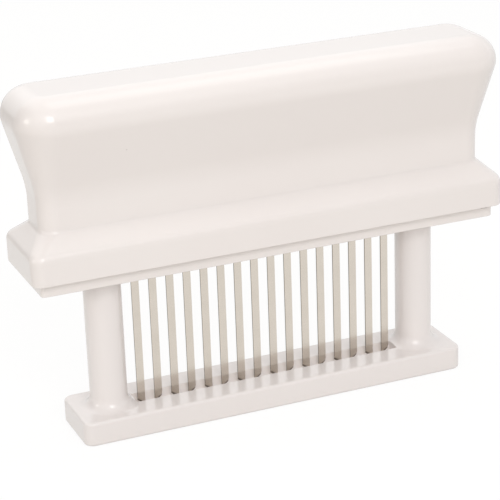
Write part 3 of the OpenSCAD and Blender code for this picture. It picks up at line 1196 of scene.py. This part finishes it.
@dataclass(frozen=True)
class Softbox:
    """A lamp by its bearing, height, distance, width, power and tint."""

    name: str
    bearing: float
    height: float
    distance: float
    width: float
    power: float
    tint: tuple[float, float, float] = (1.0, 1.0, 1.0)

    def place(self, target: Vector) -> None:
        """Add the lamp, aimed at a point."""
        data = bpy.data.lights.new(self.name, "AREA")
        data.shape = "RECTANGLE"
        data.size = self.width
        data.size_y = self.width
        data.energy = self.power
        data.color = self.tint
        lamp = bpy.data.objects.new(self.name, data)
        bpy.context.scene.collection.objects.link(lamp)
        away = outward(self.bearing, self.height)
        lamp.location = target + away * self.distance
        lamp.rotation_euler = away.to_track_quat("Z", "Y").to_euler()


@dataclass
class Studio:
    """Camera, white surroundings, pale floor and softboxes."""

    azimuth: float = -22.32
    elevation: float = 20.79
    roll: float = -2.08
    distance: float = 551.6
    target: tuple[float, float, float] = (-3.73, 0.0, 46.63)
    focal_px: float = 1890.3
    frame_px: float = 500.0
    sensor: float = 36.0
    clip: tuple[float, float] = (0.01, 20.0)
    fill: float = 0.44
    fill_front: float = 0.36
    room: float = 0.35
    room_front: float = -1.6
    room_above: float = 1.5
    room_above_from: float = 0.6
    room_left: float = -3.0
    room_left_from: float = 0.9
    floor_size: float = 6.0
    floor_colour: tuple[float, float, float, float] = (0.70, 0.685, 0.66, 1.0)
    floor_glow: float = 1.1
    floor_glow_share: float = 0.8
    floor_gloss: float = 0.8
    sheet_left: float = -0.1
    sheet_fade: float = 0.1
    lamps: tuple[Softbox, ...] = (
        Softbox("front_softbox", -6.0, 35.0, 0.9, 0.36, 1.82),
        Softbox("side_softbox", -46.0, 28.0, 0.9, 0.9, 0.75),
        Softbox("left_softbox", -89.0, 19.0, 0.9, 0.2, 0.64, (1.0, 0.95, 0.86)),
        Softbox("high_softbox", -6.0, 68.0, 0.9, 1.1, 1.0),
        Softbox("over_softbox", 100.0, 75.0, 0.9, 0.46, 0.68),
        Softbox("rear_softbox", 178.0, 52.0, 0.9, 1.0, 1.24),
    )

    def camera(self) -> None:
        """Add the camera at the photograph's viewing angle."""
        data = bpy.data.cameras.new("camera")
        data.sensor_width = self.sensor
        data.lens = self.focal_px / self.frame_px * self.sensor
        data.clip_start, data.clip_end = self.clip
        camera = bpy.data.objects.new("camera", data)
        bpy.context.scene.collection.objects.link(camera)
        azimuth = math.radians(self.azimuth)
        back = outward(self.azimuth, self.elevation)
        level = Vector((math.cos(azimuth), math.sin(azimuth), 0))
        up = back.cross(level)
        roll = math.radians(self.roll)
        right = level * math.cos(roll) + up * math.sin(roll)
        top = up * math.cos(roll) - level * math.sin(roll)
        turn = Matrix((right, top, back)).transposed().to_4x4()
        place = Vector(self.target) * MM + back * self.distance * MM
        camera.matrix_world = Matrix.Translation(place) @ turn
        bpy.context.scene.camera = camera

    def surroundings(self) -> None:
        """Light softly from all round, more from some sides, and show white to the camera."""
        world = bpy.data.worlds.new("white_room")
        bpy.context.scene.world = world
        g = empty_graph(world)
        rays = g.node("ShaderNodeLightPath")
        x, y, z = g.split(g.node("ShaderNodeTexCoord").outputs["Generated"])
        front = g.math("MULTIPLY", y, self.room_front)
        above = g.math("MULTIPLY", z, self.room_above)
        above = g.math("SUBTRACT", above, self.room_above_from)
        left = g.math("MULTIPLY", x, self.room_left)
        left = g.math("SUBTRACT", left, self.room_left_from)
        open_side = g.math("MAXIMUM", g.math("ADD", front, above), left)
        open_side = g.bounded(open_side, 0.0, 1.0)
        gloss = g.math("SUBTRACT", 1.0, g.math("MULTIPLY", open_side, 1.0 - self.room))
        seen = g.math("MULTIPLY", rays.outputs["Is Glossy Ray"], gloss)
        seen = g.math("MAXIMUM", seen, rays.outputs["Is Camera Ray"])
        seen = g.math("MAXIMUM", seen, rays.outputs["Is Transmission Ray"])
        direct = g.math("MAXIMUM", rays.outputs["Is Camera Ray"], rays.outputs["Is Glossy Ray"])
        direct = g.math("MAXIMUM", direct, rays.outputs["Is Transmission Ray"])
        toward_front = g.math("SUBTRACT", 0.5, g.math("MULTIPLY", y, 0.5))
        share = g.math("MULTIPLY", g.math("POWER", toward_front, 2.0), self.fill_front)
        light = g.math("MULTIPLY", g.math("SUBTRACT", 1.0, direct), g.math("ADD", self.fill, share))
        strength = g.math("ADD", seen, light)
        back = g.node("ShaderNodeBackground", Color=WHITE, Strength=strength)
        g.node("ShaderNodeOutputWorld", Surface=back.outputs[0])

    def floor(self) -> None:
        """Add the pale floor, which keeps a light shadow of the object."""
        floor = added("floor", bpy.ops.mesh.primitive_plane_add, size=self.floor_size)
        material, g, place = blank_material("pale_floor")
        matt = g.node("ShaderNodeBsdfDiffuse", Color=self.floor_colour)
        glow = g.node("ShaderNodeEmission", Color=WHITE, Strength=self.floor_glow)
        rays = g.node("ShaderNodeLightPath")
        inside = g.math("SUBTRACT", g.split(place)[0], self.sheet_left - self.sheet_fade)
        inside = g.math("DIVIDE", inside, self.sheet_fade)
        inside = g.bounded(inside, 0.0, self.floor_gloss)
        gloss = g.math("MULTIPLY", rays.outputs["Is Glossy Ray"], inside)
        seen = g.math("MAXIMUM", rays.outputs["Is Camera Ray"], gloss)
        seen = g.math("MAXIMUM", seen, rays.outputs["Is Transmission Ray"])
        mix = g.node("ShaderNodeMixShader")
        g.link(g.math("MULTIPLY", seen, self.floor_glow_share), mix.inputs[0])
        g.link(matt.outputs[0], mix.inputs[1])
        g.link(glow.outputs[0], mix.inputs[2])
        g.node("ShaderNodeOutputMaterial", Surface=mix.outputs[0])
        floor.data.materials.append(material)

    def build(self) -> None:
        """Set up the whole studio."""
        self.camera()
        self.surroundings()
        self.floor()
        for lamp in self.lamps:
            lamp.place(Vector(self.target) * MM)
        bpy.context.scene.view_settings.view_transform = "Standard"


def main() -> None:
    """Build the studio and every piece in order."""
    logging.basicConfig(level=logging.INFO, format="%(name)s: %(message)s")
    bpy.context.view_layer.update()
    Studio().build()
    Grip().build()
    Retainer().build()
    KnifeRow().build()
    PresserFoot().build()
    Springs().build()
    Fittings().build()


if __name__ == "__main__":
    main()
